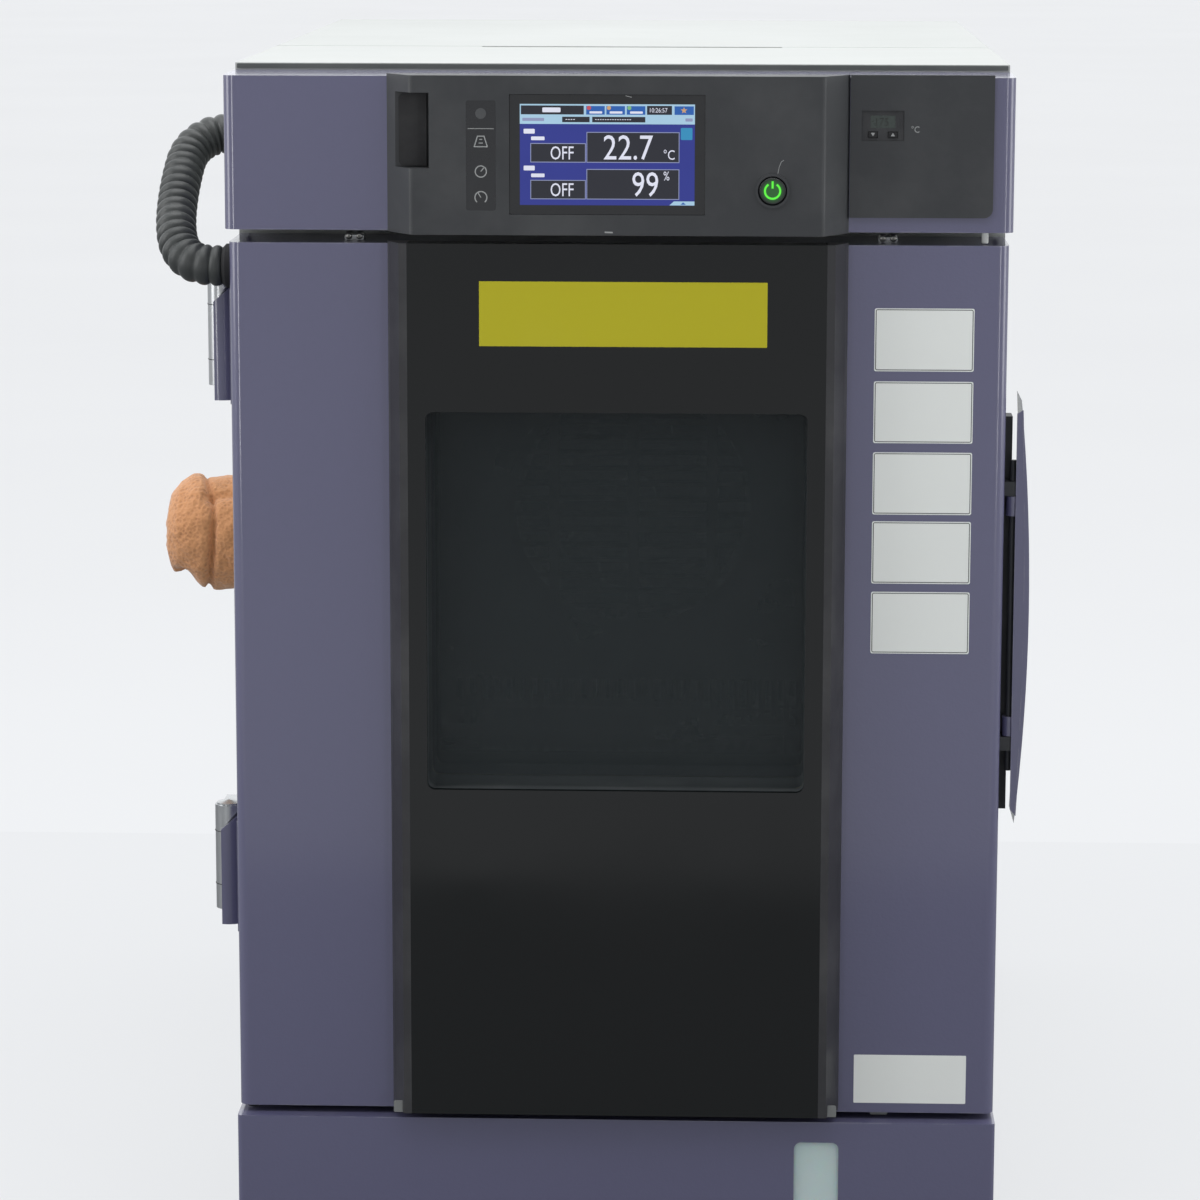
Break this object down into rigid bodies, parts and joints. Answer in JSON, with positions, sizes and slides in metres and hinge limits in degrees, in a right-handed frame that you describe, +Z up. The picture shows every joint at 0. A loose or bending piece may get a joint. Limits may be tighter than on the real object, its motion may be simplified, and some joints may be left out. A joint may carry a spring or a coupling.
{
  "type": "environmental test chamber",
  "caption": "Bench-top temperature and humidity chamber with a hinged window door, touch panel, side cable port, base water drawer and bowed latch handle.",
  "frame": {"origin": "on the floor plane, under the middle of the whole chamber with its foam plug and handle", "axes": "+Z up, the door faces -Y, +X to the right as seen from the front"},
  "size_m": [0.5164, 0.7348, 0.69],
  "materials": {
    "purple_paint": "fine textured powder coat",
    "light_paint": "smooth light grey powder coat",
    "galvanised": "zinc coated sheet",
    "stainless": "fine ground stainless",
    "hinge_steel": "satin plated",
    "insulation": "rigid foam",
    "fins": "finned coil",
    "heater_sheath": "heat tinted sheath",
    "motor_paint": "black enamel",
    "panel_plastic": "fine grained dark moulding",
    "black_gloss": "back printed glossy panel",
    "trim_plastic": "dark grey satin extrusion",
    "pane_glass": "clear tinted",
    "screen_glass": "lit display under glass",
    "frame_grey": "satin grey frame",
    "black_rubber": "soft black rubber",
    "hose_plastic": "corrugated conduit",
    "sponge": "open foam",
    "tank_plastic": "translucent blow moulding",
    "cap_plastic": "ribbed cap",
    "dark_plastic": "glass filled moulding"
  },
  "bodies": {
    "cabinet": {"base_pan": "galvanised", "levelling_feet": "black_rubber", "side_panel_left": "light_paint", "side_panel_right": "light_paint", "rear_panel": "light_paint", "top_plates": "light_paint", "front_frame": "light_paint", "inner_tub": "stainless", "tub_insulation": "insulation", "duct_panel": "stainless", "fan_guard": "stainless", "shelf_standards": "stainless", "evaporator_coil": "fins", "heater_coil": "heater_sheath", "humidifying_tray": "stainless", "temperature_sensor": "stainless", "fan_motor": "motor_paint", "compressor": "motor_paint", "condenser": "fins", "condenser_fan_frame": "dark_plastic", "electrical_box": "galvanised", "control_housing": "purple_paint", "control_panel": "panel_plastic", "touch_screen": "screen_glass", "overheat_protector": "dark_plastic", "usb_socket": "hinge_steel", "cable_port_tube": "stainless", "hose_gland_case": "black_rubber", "hose": "hose_plastic", "case_hinges": "hinge_steel", "hinge_pins": "hinge_steel", "latch_keeper": "hinge_steel", "drain_port": "dark_plastic", "power_inlet": "dark_plastic"},
    "door": {"door_shell": "purple_paint", "door_insulation": "insulation", "door_liner": "stainless", "door_gasket": "black_rubber", "window_frame": "frame_grey", "window_panes": "pane_glass", "door_front_panel": "black_gloss", "door_trims": "trim_plastic", "door_hinges": "hinge_steel", "hinge_covers": "purple_paint", "hose_gland_door": "black_rubber", "handle_carrier": "panel_plastic"},
    "handle": {"handle_lever": "purple_paint"},
    "latch": {"latch_pawl": "hinge_steel"},
    "power_key": {"power_button": "black_gloss"},
    "set_key_down": {"key_down": "black_rubber"},
    "set_key_up": {"key_up": "black_rubber"},
    "socket_cover": {"usb_cover": "black_rubber"},
    "circulation_rotor": {"circulation_fan": "fins"},
    "condenser_rotor": {"condenser_fan": "dark_plastic"},
    "port_plug": {"cable_port_plug": "sponge"},
    "breaker_toggle": {"breaker_lever": "black_gloss"},
    "tank_drawer": {"base_front_panel": "purple_paint", "tank_tray": "galvanised", "water_tank": "tank_plastic"},
    "filler_cap": {"tank_cap": "cap_plastic"}
  },
  "joints": [
    {"name": "door_hinge", "type": "hinge", "parent": "cabinet", "child": "door", "pos_m": [-0.20265, -0.2996, 0.393], "axis": [0, 0, -1], "range_deg": [0, 110], "deforming": ["hose"]},
    {"name": "handle_pull", "type": "hinge", "parent": "door", "child": "handle", "pos_m": [0.24815, -0.3276, 0.3815], "axis": [0, 0, -1], "range_deg": [0, 25], "stiffness_Nm_per_rad": 1.5},
    {"name": "latch_turn", "type": "hinge", "parent": "door", "child": "latch", "pos_m": [0.24725, -0.3066, 0.3815], "axis": [0, 0, -1], "range_deg": [0, 15]},
    {"name": "power_press", "type": "slide", "parent": "cabinet", "child": "power_key", "axis": [0, 1, 0], "range_m": [0, 0.0015], "stiffness_N_per_m": 400},
    {"name": "key_down_press", "type": "slide", "parent": "cabinet", "child": "set_key_down", "axis": [0, 1, 0], "range_m": [0, 0.0006], "stiffness_N_per_m": 400},
    {"name": "key_up_press", "type": "slide", "parent": "cabinet", "child": "set_key_up", "axis": [0, 1, 0], "range_m": [0, 0.0006], "stiffness_N_per_m": 400},
    {"name": "socket_flap", "type": "hinge", "parent": "cabinet", "child": "socket_cover", "pos_m": [-0.08135, -0.35425, 0.65725], "axis": [0, 0, 1], "range_deg": [0, 80]},
    {"name": "circulation_spin", "type": "hinge", "parent": "cabinet", "child": "circulation_rotor", "pos_m": [0.02485, 0.0554, 0.393], "axis": [0, 1, 0], "continuous": true},
    {"name": "condenser_spin", "type": "hinge", "parent": "cabinet", "child": "condenser_rotor", "pos_m": [0.11985, 0.3014, 0.1226], "axis": [0, 1, 0], "continuous": true},
    {"name": "plug_pull", "type": "slide", "parent": "cabinet", "child": "port_plug", "axis": [-1, 0, 0], "range_m": [0, 0.08]},
    {"name": "breaker_throw", "type": "hinge", "parent": "cabinet", "child": "breaker_toggle", "pos_m": [0.18485, 0.3499, 0.376], "axis": [-1, 0, 0], "range_deg": [0, 75]},
    {"name": "tank_slide", "type": "slide", "parent": "cabinet", "child": "tank_drawer", "axis": [0, -1, 0], "range_m": [0, 0.15]},
    {"name": "cap_turn", "type": "hinge", "parent": "tank_drawer", "child": "filler_cap", "pos_m": [0.1408, -0.2346, 0.082], "axis": [0, 0, 1], "range_deg": [0, 90]}
  ],
  "couplings": [
    {"joint": "latch_turn", "follows": "handle_pull", "ratio": 0.6}
  ]
}
